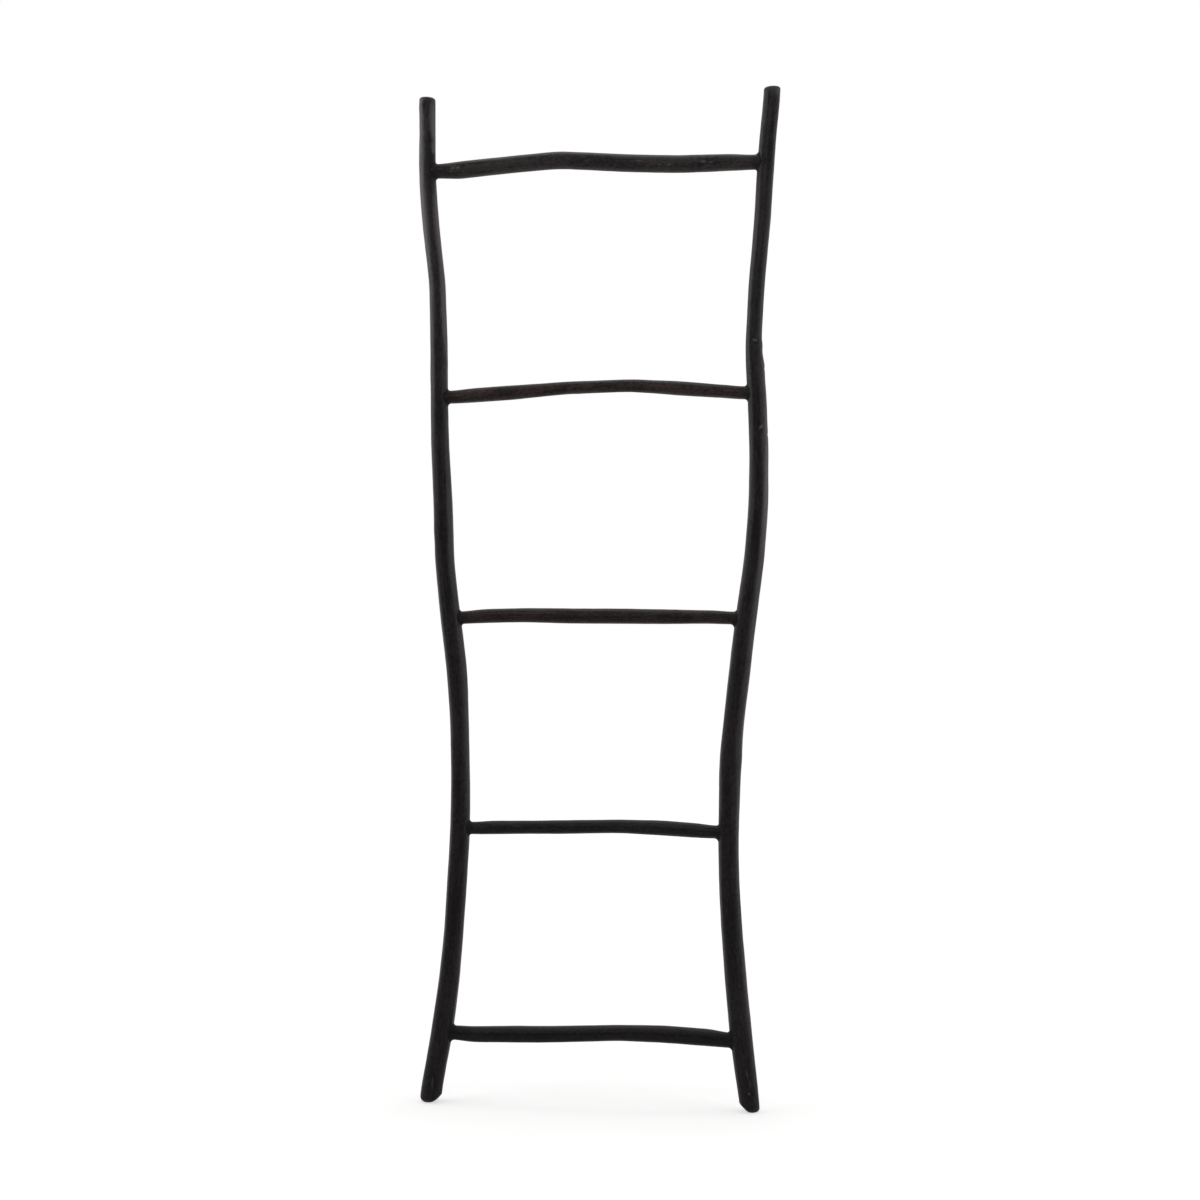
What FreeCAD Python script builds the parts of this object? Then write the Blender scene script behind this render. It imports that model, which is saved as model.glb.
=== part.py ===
"""Blanket ladder: two natural pole rails joined by five branch rungs.

Every rung end is scribed to its rail, enters it on a round tenon, is held by a steel pin
driven from the back, and has a bead of filler in the corner around it.

Lengths are millimetres. +Z is up and the front faces -Y. The origin is on the floor, midway
between the outer sides of the rails.
"""
import FreeCAD, Part
import os
import Sketcher
from FreeCAD import Placement, Rotation, Vector
from math import radians

doc = FreeCAD.newDocument("blanket_ladder")

# Heights: one bay below the bottom rung, one above each rung, from the floor to the rail tops.
BAYS = {
    "foot_bay": 124,
    "bottom_bay": 366,
    "lower_bay": 377,
    "middle_bay": 395,
    "upper_bay": 405,
    "top_bay": 133,
}
RUNGS = {
    "bottom_rung": "bottom_bay",
    "lower_rung": "lower_bay",
    "middle_rung": "middle_bay",
    "upper_rung": "upper_bay",
    "top_rung": "top_bay",
}
SIDES = {"left": -1, "right": 1}

# Rails: sway is how far the pole's heart stands to the right of its straight line, and girth
# is its diameter. A bend lies at its share of a bay, and a rung's place at the bay's foot.
RAIL_RINGS = {
    "left": [
        # place, bay, share of the bay, sway, girth
        ("foot", "foot_bay", None, -32, 38.5),
        ("ankle", "foot_bay", 0.5, -23, 38.2),
        ("bottom_rung", "bottom_bay", None, -11.2, 39.8),
        ("bottom_bay_low", "bottom_bay", 0.25, 1.2, 37.6),
        ("bottom_bay_mid", "bottom_bay", 0.5, 9.9, 34.9),
        ("bottom_bay_high", "bottom_bay", 0.75, 15.5, 35.7),
        ("lower_rung", "lower_bay", None, 21.3, 35.7),
        ("lower_bay_low", "lower_bay", 0.25, 21.4, 34),
        ("lower_bay_mid", "lower_bay", 0.5, 19.6, 33.7),
        ("lower_bay_high", "lower_bay", 0.75, 15.2, 37.1),
        ("middle_rung", "middle_bay", None, 3.6, 37),
        ("middle_bay_low", "middle_bay", 0.25, -7.2, 34.5),
        ("middle_bay_mid", "middle_bay", 0.5, -9.3, 34.8),
        ("middle_bay_high", "middle_bay", 0.75, -14.2, 32.4),
        ("upper_rung", "upper_bay", None, -16.4, 31.3),
        ("upper_bay_low", "upper_bay", 0.25, -16.5, 31),
        ("upper_bay_mid", "upper_bay", 0.5, -19.1, 29.4),
        ("upper_bay_high", "upper_bay", 0.75, -30.7, 30),
        ("top_rung", "top_bay", None, -38.6, 30.3),
        ("neck", "top_bay", 0.5, -36.6, 29.2),
        ("tip", "top_bay", 1, -38, 29.5),
    ],
    "right": [
        ("foot", "foot_bay", None, -0.5, 34.5),
        ("ankle", "foot_bay", 0.5, -7.9, 37.8),
        ("bottom_rung", "bottom_bay", None, -15.6, 39.6),
        ("bottom_bay_low", "bottom_bay", 0.25, -24.8, 38.9),
        ("bottom_bay_mid", "bottom_bay", 0.5, -31.7, 37.4),
        ("bottom_bay_high", "bottom_bay", 0.75, -37.5, 36.3),
        ("lower_rung", "lower_bay", None, -39.1, 35.9),
        ("lower_bay_low", "lower_bay", 0.35, -34.8, 39.2),
        ("lower_bay_mid", "lower_bay", 0.5, -30.1, 36.6),
        ("lower_bay_high", "lower_bay", 0.75, -18.8, 37.8),
        ("middle_rung", "middle_bay", None, -7.8, 37.7),
        ("middle_bay_low", "middle_bay", 0.25, 6.6, 35.4),
        ("middle_bay_mid", "middle_bay", 0.5, 14.5, 35.3),
        ("middle_bay_high", "middle_bay", 0.75, 15.4, 33.6),
        ("upper_rung", "upper_bay", None, 11.3, 33.4),
        ("upper_bay_knee", "upper_bay", 0.1, 8.5, 32.8),
        ("upper_bay_low", "upper_bay", 0.22, 5.5, 27.8),
        ("upper_bay_mid", "upper_bay", 0.5, 12, 28.4),
        ("upper_bay_high", "upper_bay", 0.75, 21.3, 29.2),
        ("top_rung", "top_bay", None, 27, 30.3),
        ("neck", "top_bay", 0.5, 32.8, 29),
        ("tip", "top_bay", 1, 39, 29.5),
    ],
}

# Rungs: lift is how far a bend stands above the line between the rung's two ends.
RUNG_BEND_SHARES = {
    "bend_1": 0.1,
    "bend_2": 0.25,
    "bend_3": 0.4,
    "bend_4": 0.6,
    "bend_5": 0.75,
    "bend_6": 0.9,
}
RUNG_RINGS = {
    # left end girth, (lift, girth) of each bend, right end girth, bow towards the front
    "bottom_rung": (
        25, [(-1.9, 28.2), (0.5, 29.4), (3, 28.9), (8.8, 27.8), (8, 30.1), (3.8, 30)], 26, 4,
    ),
    "lower_rung": (
        22, [(1.4, 24.1), (2.9, 24), (4.4, 24.2), (7.3, 24), (5.5, 26.8), (1.7, 25.7)], 22.5, -3,
    ),
    "middle_rung": (
        22.5, [(2.7, 25.1), (4.8, 25.3), (3.5, 27), (3.1, 27), (2.4, 25.8), (1.7, 23.6)], 22.5, 5,
    ),
    "upper_rung": (
        23, [(2.7, 25.9), (7.4, 25.7), (13.7, 22.4), (16.4, 22.2), (10.5, 25.1), (3.1, 23.1)], 23, -4,
    ),
    "top_rung": (
        25.5, [(0.7, 31.1), (7.7, 30.3), (13.1, 30.9), (4, 31), (-0.1, 31), (0.7, 29.4)], 26, 3,
    ),
}

SIZES = {
    "rail_spacing": 541,      # between the straight lines that the rails sway about
    "left_bow": 7,            # how far the middle of the rail bows towards the back
    "left_swing": 3.5,        # how far its lower half swings back and its upper half forward
    "right_bow": -6,
    "right_swing": 5,
    "foot_rounding": 9,
    "tip_rounding": 4,
    "rung_neck": 26,          # straight end of a rung, from the rail's heart
    "tenon_girth": 18,
    "tenon_reach": 6,         # past the rail's heart
    "tenon_root": 12,         # from the rail's surface into the rung
    "mortise_clearance": 0.1,
    "mortise_end_gap": 1,
    "drill_overrun": 6,       # how far a drill starts outside the rail
    "pin_girth": 2.5,
    "pin_length": 24,
    "pin_sink": 0.8,          # the pin's head below the rail's back
    "pin_clearance": 0.05,
    "pin_tip_gap": 0.5,
    "bead": 6,                # the filler's reach up the rail and along the rung
    "bead_side": 1.2,         # its thickness at the rung's front and back
    "bead_lip": 0.15,         # its thickness where it runs out along the rung
}
SIZES.update(BAYS)
SIZES.update({f"{bend}_share": share for bend, share in RUNG_BEND_SHARES.items()})
for side, rings in RAIL_RINGS.items():
    for place, bay, share, sway, girth in rings:
        SIZES[f"{side}_{place}_sway"] = sway
        SIZES[f"{side}_{place}_girth"] = girth
        if share not in (None, 1):
            SIZES[f"{side}_{place}_share"] = share
for rung, (left_girth, bends, right_girth, bow) in RUNG_RINGS.items():
    SIZES[f"{rung}_left_girth"] = left_girth
    SIZES[f"{rung}_right_girth"] = right_girth
    SIZES[f"{rung}_bow"] = bow
    for bend, (lift, girth) in zip(RUNG_BEND_SHARES, bends):
        SIZES[f"{rung}_{bend}_lift"] = lift
        SIZES[f"{rung}_{bend}_girth"] = girth

sheet = doc.addObject("Spreadsheet::Sheet", "Sizes")
for row, (alias, value) in enumerate(SIZES.items(), 1):
    sheet.set(f"A{row}", alias)
    sheet.set(f"B{row}", str(value))
    sheet.setAlias(f"B{row}", alias)
doc.recompute()


# ---- Where things are, as expressions on the sheet -------------------------------------------

RAIL_LENGTH = " + ".join(f"Sizes.{bay}" for bay in BAYS)


def bay_floor(bay):
    """Height of a bay's lower end: all the bays under it."""
    names = list(BAYS)
    below = names[:names.index(bay)]
    return " + ".join(f"Sizes.{name}" for name in below) or "0"


def heart_across(side, place):
    """X of a rail's heart at one of its rings."""
    return f"{SIDES[side]} * Sizes.rail_spacing / 2 + Sizes.{side}_{place}_sway"


def heart_depth(side, level):
    """Y of a rail's heart at a height: one bow over its whole length, and one swing about its middle."""
    turn = f"({level}) / ({RAIL_LENGTH})"
    return (f"Sizes.{side}_bow * sin(180 deg * {turn})"
            f" + Sizes.{side}_swing * sin(360 deg * {turn})")


def ring_height(side, place, bay, share):
    """Height of a rail's ring: a bend lies part of the way up its bay."""
    if share is None:
        return bay_floor(bay)
    part = "1" if share == 1 else f"Sizes.{side}_{place}_share"
    return f"{bay_floor(bay)} + {part} * Sizes.{bay}"


def lean(side, rung):
    """Angle of a rail from upright at a rung, taken from the rings just under and over it."""
    rings = RAIL_RINGS[side]
    at = [ring[0] for ring in rings].index(rung)
    under, over = rings[at - 1], rings[at + 1]
    run = f"Sizes.{side}_{over[0]}_sway - Sizes.{side}_{under[0]}_sway"
    rise = f"{ring_height(side, *over[:3])} - ({ring_height(side, *under[:3])})"
    return f"atan(({run}) / ({rise}))"


# ---- Poles: lofted through round sections -----------------------------------------------------

# A sketch is drawn at these sizes first, and its expressions then set the real ones.
DRAWN_GIRTH = 30
DRAWN_ROUNDING = 4
# The four quarters of a round section meet at the corners between its front, back and sides.
CORNER_TURN = 45


def origin_plane(body, role):
    return next(plane for plane in body.Origin.OriginFeatures if plane.Role == role)


def add_ring(body, plane, name, girth, offsets):
    """A round section of a pole, in four quarters: a sketch on an origin plane, moved along its axes."""
    sketch = body.newObject("Sketcher::SketchObject", name)
    sketch.AttachmentSupport = [(origin_plane(body, plane), "")]
    sketch.MapMode = "FlatFace"
    sketch.AttachmentOffset = Placement(Vector(), Rotation(Vector(0, 0, 1), CORNER_TURN))
    section = Part.Circle(Vector(), Vector(0, 0, 1), DRAWN_GIRTH / 2)
    for quarter in range(4):
        start = radians(90 * quarter)
        sketch.addGeometry(Part.ArcOfCircle(section, start, start + radians(90)))
    for quarter in range(3):
        sketch.addConstraint(Sketcher.Constraint("Coincident", quarter, 3, -1, 1))
    for quarter in range(4):
        sketch.addConstraint(Sketcher.Constraint("Coincident", quarter, 2, (quarter + 1) % 4, 1))
        sketch.addConstraint(Sketcher.Constraint("PointOnObject", quarter, 1, -1 - quarter % 2))
    sketch.addConstraint(Sketcher.Constraint("Equal", 0, 3))
    number = sketch.addConstraint(Sketcher.Constraint("Diameter", 0, DRAWN_GIRTH))
    sketch.renameConstraint(number, "girth")
    sketch.setExpression("Constraints.girth", girth)
    for axis, offset in zip("xyz", offsets):
        sketch.setExpression(f"AttachmentOffset.Base.{axis}", offset)
    return sketch


def loft_through(body, name, rings):
    loft = body.newObject("PartDesign::AdditiveLoft", name)
    loft.Profile = rings[0]
    loft.Sections = rings[1:]
    loft.Ruled = True
    loft.Refine = False


def add_rounded_end(body, name, girth, rounding, base, turn):
    """The sawn end of a pole, its rim rounded: a quarter-round profile turned about the pole's heart."""
    sketch = body.newObject("Sketcher::SketchObject", f"{name}_profile")
    sketch.AttachmentSupport = [(origin_plane(body, "XZ_Plane"), "")]
    sketch.MapMode = "FlatFace"
    sketch.AttachmentOffset = Placement(Vector(), Rotation(Vector(0, 0, 1), turn))
    flat = DRAWN_GIRTH / 2 - DRAWN_ROUNDING
    face_edge = Vector(flat, 0, 0)
    heart = Vector(0, DRAWN_ROUNDING, 0)
    shoulder = Vector(DRAWN_GIRTH / 2, DRAWN_ROUNDING, 0)
    rim = Part.Circle(Vector(flat, DRAWN_ROUNDING, 0), Vector(0, 0, 1), DRAWN_ROUNDING)
    sketch.addGeometry(Part.LineSegment(Vector(), heart))
    sketch.addGeometry(Part.LineSegment(heart, shoulder))
    sketch.addGeometry(Part.ArcOfCircle(rim, radians(270), radians(360)))
    sketch.addGeometry(Part.LineSegment(face_edge, Vector()))
    for constraint in [
        ("Coincident", 0, 1, -1, 1),
        ("Coincident", 0, 2, 1, 1),
        ("Coincident", 1, 2, 2, 2),
        ("Coincident", 2, 1, 3, 1),
        ("Coincident", 3, 2, 0, 1),
        ("Vertical", 0),
        ("Horizontal", 1),
        ("Horizontal", 3),
        ("Horizontal", 2, 3, 1, 2),
        ("Vertical", 2, 3, 2, 1),
    ]:
        sketch.addConstraint(Sketcher.Constraint(*constraint))
    for label, constraint, size in [
        ("rounding", ("Radius", 2, DRAWN_ROUNDING), rounding),
        ("half_girth", ("DistanceX", 1, 1, 1, 2, DRAWN_GIRTH / 2), f"{girth} / 2"),
    ]:
        number = sketch.addConstraint(Sketcher.Constraint(*constraint))
        sketch.renameConstraint(number, label)
        sketch.setExpression(f"Constraints.{label}", size)
    for axis, place in zip("xyz", base):
        sketch.setExpression(f"AttachmentOffset.Base.{axis}", place)
    end = body.newObject("PartDesign::Revolution", name)
    end.Profile = sketch
    end.ReferenceAxis = (sketch, ["V_Axis"])
    end.Angle = 360


def make_rail_blank(side):
    """A rail before drilling: a pole through level round sections, its foot and tip sawn and rounded."""
    body = doc.addObject("PartDesign::Body", f"{side}_rail_blank")
    rings = []
    for place, bay, share, _, _ in RAIL_RINGS[side]:
        level = ring_height(side, place, bay, share)
        if place == "foot":
            level += " + Sizes.foot_rounding"
        if place == "tip":
            level += " - Sizes.tip_rounding"
        offsets = (heart_across(side, place), heart_depth(side, level), level)
        name = f"{side}_rail_{place}_ring"
        rings.append(add_ring(body, "XY_Plane", name, f"Sizes.{side}_{place}_girth", offsets))
    loft_through(body, f"{side}_rail_pole", rings)
    for place, level, turn in [("foot", "0", 0), ("tip", RAIL_LENGTH, 180)]:
        end_depth = heart_depth(side, f"abs({level} - Sizes.{place}_rounding)")
        base = (heart_across(side, place), level, f"-({end_depth})")
        name = f"{side}_rail_rounded_{place}"
        add_rounded_end(body, name, f"Sizes.{side}_{place}_girth", f"Sizes.{place}_rounding", base, turn)
    return body


def make_rung_blank(rung):
    """A rung before scribing: it runs from heart to heart of the rails, with a straight neck at each end."""
    body = doc.addObject("PartDesign::Body", f"{rung}_blank")
    level = bay_floor(RUNGS[rung])
    start, end = (heart_across(side, rung) for side in SIDES)
    start_depth, end_depth = (heart_depth(side, level) for side in SIDES)

    def ring(name, girth, across, depth, height):
        return add_ring(body, "YZ_Plane", f"{rung}_{name}_ring", girth, (depth, height, across))

    left_girth, right_girth = f"Sizes.{rung}_left_girth", f"Sizes.{rung}_right_girth"
    rings = [
        ring("left_end", left_girth, start, start_depth, level),
        ring("left_neck", left_girth, f"{start} + Sizes.rung_neck", start_depth, level),
    ]
    for bend in RUNG_BEND_SHARES:
        share = f"Sizes.{bend}_share"
        across = f"(1 - {share}) * ({start}) + {share} * ({end})"
        depth = (f"(1 - {share}) * ({start_depth}) + {share} * ({end_depth})"
                 f" - Sizes.{rung}_bow * sin(180 deg * {share})")
        height = f"{level} + Sizes.{rung}_{bend}_lift"
        rings.append(ring(bend, f"Sizes.{rung}_{bend}_girth", across, depth, height))
    rings += [
        ring("right_neck", right_girth, f"{end} - Sizes.rung_neck", end_depth, level),
        ring("right_end", right_girth, end, end_depth, level),
    ]
    loft_through(body, f"{rung}_pole", rings)
    return body


# ---- Joints: mortise, tenon, pin and filler ---------------------------------------------------

ALONG_X = Rotation(Vector(0, 0, 1), Vector(1, 0, 0))
TO_THE_FRONT = Rotation(Vector(0, 0, 1), Vector(0, -1, 0))


def add_rod(name, direction, girth, length, base):
    """A round bar that starts at a point and runs in one direction."""
    rod = doc.addObject("Part::Cylinder", name)
    rod.Placement = Placement(Vector(), direction)
    rod.setExpression("Radius", f"({girth}) / 2")
    rod.setExpression("Height", length)
    for axis, place in zip("xyz", base):
        rod.setExpression(f"Placement.Base.{axis}", place)
    return rod


def combine(kind, name, pieces):
    group = doc.addObject(kind, name)
    if kind == "Part::Compound":
        group.Links = pieces
    else:
        group.Shapes = pieces
        group.Refine = False
    return group


def cut_away(name, base, tool):
    cut = doc.addObject("Part::Cut", name)
    cut.Base = base
    cut.Tool = tool
    cut.Refine = False
    cut.Label = name
    return cut


class Joint:
    """One rung end in one rail: its place, and the rods that are drilled out of and put into it."""

    def __init__(self, rung, side):
        self.name = f"{rung}_{side}"
        self.rung = rung
        self.side = side
        self.inward = -SIDES[side]
        self.level = bay_floor(RUNGS[rung])
        self.across = heart_across(side, rung)
        self.depth = heart_depth(side, self.level)
        self.wall = f"Sizes.{side}_{rung}_girth / 2"
        self.end_girth = f"Sizes.{rung}_{side}_girth"

    def rod_along_rung(self, name, girth, past_heart, outside):
        """A level bar from past the rail's heart to a point outside its inner surface."""
        outer = f"{self.wall} + {outside}"
        back_end = past_heart if self.side == "left" else outer
        base = (f"{self.across} - ({back_end})", self.depth, self.level)
        return add_rod(f"{self.name}_{name}", ALONG_X, girth, f"{past_heart} + {outer}", base)

    def rod_from_back(self, name, girth, outside, length):
        """A level bar driven forward from behind the rail, through its heart line."""
        base = (self.across, f"{self.depth} + {self.wall} + ({outside})", self.level)
        return add_rod(f"{self.name}_{name}", TO_THE_FRONT, girth, length, base)

    def mortise(self):
        girth = "Sizes.tenon_girth + 2 * Sizes.mortise_clearance"
        depth = "Sizes.tenon_reach + Sizes.mortise_end_gap"
        return self.rod_along_rung("mortise", girth, depth, "Sizes.drill_overrun")

    def tenon(self):
        return self.rod_along_rung("tenon", "Sizes.tenon_girth", "Sizes.tenon_reach", "Sizes.tenon_root")

    def pin_hole(self):
        length = "Sizes.drill_overrun + Sizes.pin_sink + Sizes.pin_length + Sizes.pin_tip_gap"
        girth = "Sizes.pin_girth + 2 * Sizes.pin_clearance"
        return self.rod_from_back("pin_hole", girth, "Sizes.drill_overrun", length)

    def pin(self):
        return self.rod_from_back("pin", "Sizes.pin_girth", "-Sizes.pin_sink", "Sizes.pin_length")

    def bead_ring(self, name, outside, rise, thickness, tilt):
        """An upright oval round the rung, leaning with the rail by a part of its lean."""
        oval = doc.addObject("Part::Ellipse", f"{self.name}_bead_{name}")
        oval.Placement = Placement(Vector(), Rotation(Vector(0, 1, 0), -90))
        oval.setExpression("MajorRadius", f"{self.end_girth} / 2 + {rise}")
        oval.setExpression("MinorRadius", f"{self.end_girth} / 2 + {thickness}")
        oval.setExpression("Placement.Rotation.Angle", f"-90 deg + {tilt} * {lean(self.side, self.rung)}")
        base = (f"{self.across} + {self.inward} * ({outside})", self.depth, self.level)
        for axis, place in zip("xyz", base):
            oval.setExpression(f"Placement.Base.{axis}", place)
        return oval

    def bead_bell(self):
        """The filler before the wood shapes it: a flared sleeve with a hollow side, like a pressed fillet."""
        hollow = 1 - 0.5 ** 0.5  # of the bead, where a quarter-round hollow is halfway round
        waist_side = "(Sizes.bead_side + Sizes.bead_lip) / 2"
        rings = [
            self.bead_ring("root", "0", "Sizes.bead", "Sizes.bead_side", 1),
            self.bead_ring("foot", self.wall, "Sizes.bead", "Sizes.bead_side", 1),
            self.bead_ring("waist", f"{self.wall} + {hollow} * Sizes.bead",
                           f"{hollow} * Sizes.bead", waist_side, 1 - hollow),
            self.bead_ring("lip", f"{self.wall} + Sizes.bead", "Sizes.bead_lip", "Sizes.bead_lip", 0),
        ]
        bell = doc.addObject("Part::Loft", f"{self.name}_bell")
        bell.Sections = rings
        bell.Solid = True
        bell.Ruled = True
        return bell


# ---- The ladder ---------------------------------------------------------------------------------

rail_blanks = {side: make_rail_blank(side) for side in SIDES}
rung_blanks = {rung: make_rung_blank(rung) for rung in RUNGS}
joints = {rung: [Joint(rung, side) for side in SIDES] for rung in RUNGS}
pin_holes = {rung: [joint.pin_hole() for joint in joints[rung]] for rung in RUNGS}
parts = []

for number, (side, blank) in enumerate(rail_blanks.items()):
    drills = [joints[rung][number].mortise() for rung in RUNGS]
    drills += [pin_holes[rung][number] for rung in RUNGS]
    drilled = combine("Part::MultiFuse", f"{side}_rail_drilling", drills)
    parts.append(cut_away(f"{side}_rail", blank, drilled))

both_rails = combine("Part::Compound", "rail_blanks", list(rail_blanks.values()))
for rung, blank in rung_blanks.items():
    shaft = cut_away(f"{rung}_shaft", blank, both_rails)
    tenons = [joint.tenon() for joint in joints[rung]]
    with_tenons = combine("Part::MultiFuse", f"{rung}_with_tenons", [shaft] + tenons)
    holes = combine("Part::Compound", f"{rung}_drilling", pin_holes[rung])
    parts.append(cut_away(rung, with_tenons, holes))

for rung, blank in rung_blanks.items():
    for joint in joints[rung]:
        pin = joint.pin()
        pin.Label = f"{joint.name}_pin"
        parts.append(pin)
        wood = combine("Part::Compound", f"{joint.name}_wood", [rail_blanks[joint.side], blank])
        parts.append(cut_away(f"{joint.name}_filler", joint.bead_bell(), wood))

doc.recompute()

for thing in doc.Objects:
    if "Invalid" in thing.State or "Error" in thing.State:
        raise RuntimeError(f"{thing.Label} did not compute: {thing.State}")
for piece in parts:
    if piece.Shape.isNull() or not piece.Shape.isValid():
        raise RuntimeError(f"{piece.Label} has no valid shape")
    if len(piece.Shape.Solids) != 1:
        raise RuntimeError(f"{piece.Label} is {len(piece.Shape.Solids)} solids, not one")

os.makedirs("parts", exist_ok=True)
for piece in parts:
    piece.Shape.exportStep(f"parts/{piece.Label}.step")
    print(f"{piece.Label}: {piece.Shape.Volume / 1000:.2f} cm3")
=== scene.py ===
"""Blanket ladder: stained wood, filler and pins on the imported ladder, its floor and its light.

Lengths are metres. +Z is up, the front faces -Y, and the floor is at Z = 0.
Round a pole an angle of 0 is the front. On a rail 90 degrees is the right side, and on a rung
it is the top.
"""
import math

import bmesh
import bpy
import numpy as np
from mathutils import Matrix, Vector, noise


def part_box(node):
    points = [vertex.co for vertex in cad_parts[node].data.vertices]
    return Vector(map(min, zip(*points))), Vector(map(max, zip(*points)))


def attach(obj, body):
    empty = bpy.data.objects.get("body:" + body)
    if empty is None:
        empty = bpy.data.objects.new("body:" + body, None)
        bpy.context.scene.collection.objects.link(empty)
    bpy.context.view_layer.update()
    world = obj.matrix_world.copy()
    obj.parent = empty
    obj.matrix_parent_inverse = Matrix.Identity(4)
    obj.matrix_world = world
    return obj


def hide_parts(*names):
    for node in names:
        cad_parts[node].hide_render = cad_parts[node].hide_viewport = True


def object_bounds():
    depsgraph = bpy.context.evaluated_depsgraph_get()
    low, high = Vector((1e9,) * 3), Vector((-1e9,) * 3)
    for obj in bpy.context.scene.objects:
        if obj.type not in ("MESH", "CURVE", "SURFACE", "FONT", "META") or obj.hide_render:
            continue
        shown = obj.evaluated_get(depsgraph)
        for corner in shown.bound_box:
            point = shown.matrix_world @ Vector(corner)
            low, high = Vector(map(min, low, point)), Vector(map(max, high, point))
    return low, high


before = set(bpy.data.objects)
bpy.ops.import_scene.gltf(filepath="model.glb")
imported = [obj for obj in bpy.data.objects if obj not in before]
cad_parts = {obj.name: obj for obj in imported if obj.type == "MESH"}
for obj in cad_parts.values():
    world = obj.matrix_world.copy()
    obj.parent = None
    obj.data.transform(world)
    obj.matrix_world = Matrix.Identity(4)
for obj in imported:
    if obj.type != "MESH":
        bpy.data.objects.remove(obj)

cad_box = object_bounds()

MM = 0.001
SIDES = {"left": -1, "right": 1}
RUNG_NAMES = ["bottom_rung", "lower_rung", "middle_rung", "upper_rung", "top_rung"]


# ---- The poles as the CAD has them -------------------------------------------------------------

class CadPole:
    """The line and the thickness of a CAD pole, measured by cutting its solid across."""

    def __init__(self, node, axis):
        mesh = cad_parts[node].data
        corners = np.array([corner.co for corner in mesh.vertices])
        self.edges = corners[np.array([edge.vertices for edge in mesh.edges])]
        self.axis = axis

    def cut(self, place):
        """Where the solid's edges cross a plane, as two coordinates each."""
        past = self.edges[:, :, self.axis] - place
        crossing = past[:, 0] * past[:, 1] < 0
        start, end = self.edges[crossing, 0], self.edges[crossing, 1]
        share = past[crossing, 0] / (past[crossing, 0] - past[crossing, 1])
        points = start + (end - start) * share[:, None]
        return np.delete(points, self.axis, axis=1)

    def circle(self, place):
        """Centre and radius of the round outline at a place along the pole."""
        points = self.cut(place)
        rows = np.column_stack([2 * points, np.ones(len(points))])
        across, up, rest = np.linalg.lstsq(rows, (points ** 2).sum(axis=1), rcond=None)[0]
        return across, up, math.sqrt(rest + across * across + up * up)


def eased(values, spacing, reach):
    """Values with their corners rounded off, by a bell-shaped average over their neighbours."""
    count = round(3 * reach / spacing)
    offsets = np.arange(-count, count + 1) * spacing
    weights = np.exp(-(offsets / reach) ** 2 / 2)
    before = 2 * values[0] - values[count:0:-1]
    after = 2 * values[-1] - values[-2:-count - 2:-1]
    padded = np.concatenate([before, values, after])
    return np.convolve(padded, weights / weights.sum(), "valid")


class Line:
    """A pole's smooth heart line and radius along its main axis."""

    SPACING = 3 * MM

    def __init__(self, start, end, stations, circles, reach):
        self.places = np.arange(start, end + self.SPACING, self.SPACING)
        self.columns = [
            eased(np.interp(self.places, stations, column), self.SPACING, reach)
            for column in np.array(circles).T
        ]

    def at(self, place):
        """Two coordinates of the heart, and the radius, at one or many places."""
        return [np.interp(place, self.places, column) for column in self.columns]


HEIGHT = cad_box[1].z
END_CUT = 11 * MM          # the CAD rails' ends are rounded this close to them
JOINT_CUT = 14 * MM        # a rail is drilled this close to a rung's level
SCRIBE_CUT = 4 * MM        # a rung is scribed to a rail this close to the rail's side
RAIL_STATION = 12 * MM     # from one cut through a rail to the next
RUNG_STATIONS = 46         # cuts through a rung
RAIL_EASE = 16 * MM        # how far the corner at a CAD section is smoothed
RUNG_EASE = 9 * MM

RUNG_LEVELS = {}
for rung in RUNG_NAMES:
    low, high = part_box(f"{rung}_left_pin")
    RUNG_LEVELS[rung] = (low.z + high.z) / 2


def rail_line(side):
    """A rail's line, measured where nothing is drilled into it."""
    solid = CadPole(f"{side}_rail", 2)
    stations = [
        height for height in np.arange(END_CUT, HEIGHT - END_CUT, RAIL_STATION)
        if all(abs(height - level) > JOINT_CUT for level in RUNG_LEVELS.values())
    ]
    return Line(0, HEIGHT, stations, [solid.circle(height) for height in stations], RAIL_EASE)


RAIL_LINES = {side: rail_line(side) for side in SIDES}


def rung_line(rung):
    """A rung's line from heart to heart of the rails, straight where it enters them."""
    solid = CadPole(rung, 0)
    left, right = (RAIL_LINES[side].at(RUNG_LEVELS[rung]) for side in SIDES)
    start, end = left[0] + left[2] + SCRIBE_CUT, right[0] - right[2] - SCRIBE_CUT
    stations = np.linspace(start, end, RUNG_STATIONS)
    return Line(left[0], right[0], stations, [solid.circle(place) for place in stations], RUNG_EASE)


# ---- Wood surfaces -----------------------------------------------------------------------------

class Mark:
    """A knot, dent, crack, worn spot, painted highlight or painted shade: an oval on a pole, in mm
    and degrees from its middle.

    rise lifts the surface; the lightening value stands for worn stain and for painted highlight;
    dark darkens it, for cracks and knots and for painted shade; slant turns it along the pole.
    """

    def __init__(self, place, angle, half_length, half_width, rise=0, worn=0, dark=0, slant=0):
        self.place = place * MM
        self.angle = math.radians(angle)
        self.half_length = half_length * MM
        self.half_width = half_width * MM
        self.rise = rise * MM
        self.worn = worn
        self.dark = dark
        self.slant = math.radians(slant) / MM

    def strength(self, places, angles, radii):
        """1 in the mark's middle, fading to 0 outside it."""
        past = places - self.place
        turn = angles - self.angle - self.slant * past
        turn = (turn + math.pi) % (2 * math.pi) - math.pi
        return np.exp(-((past / self.half_length) ** 2 + (turn * radii / self.half_width) ** 2))


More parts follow.
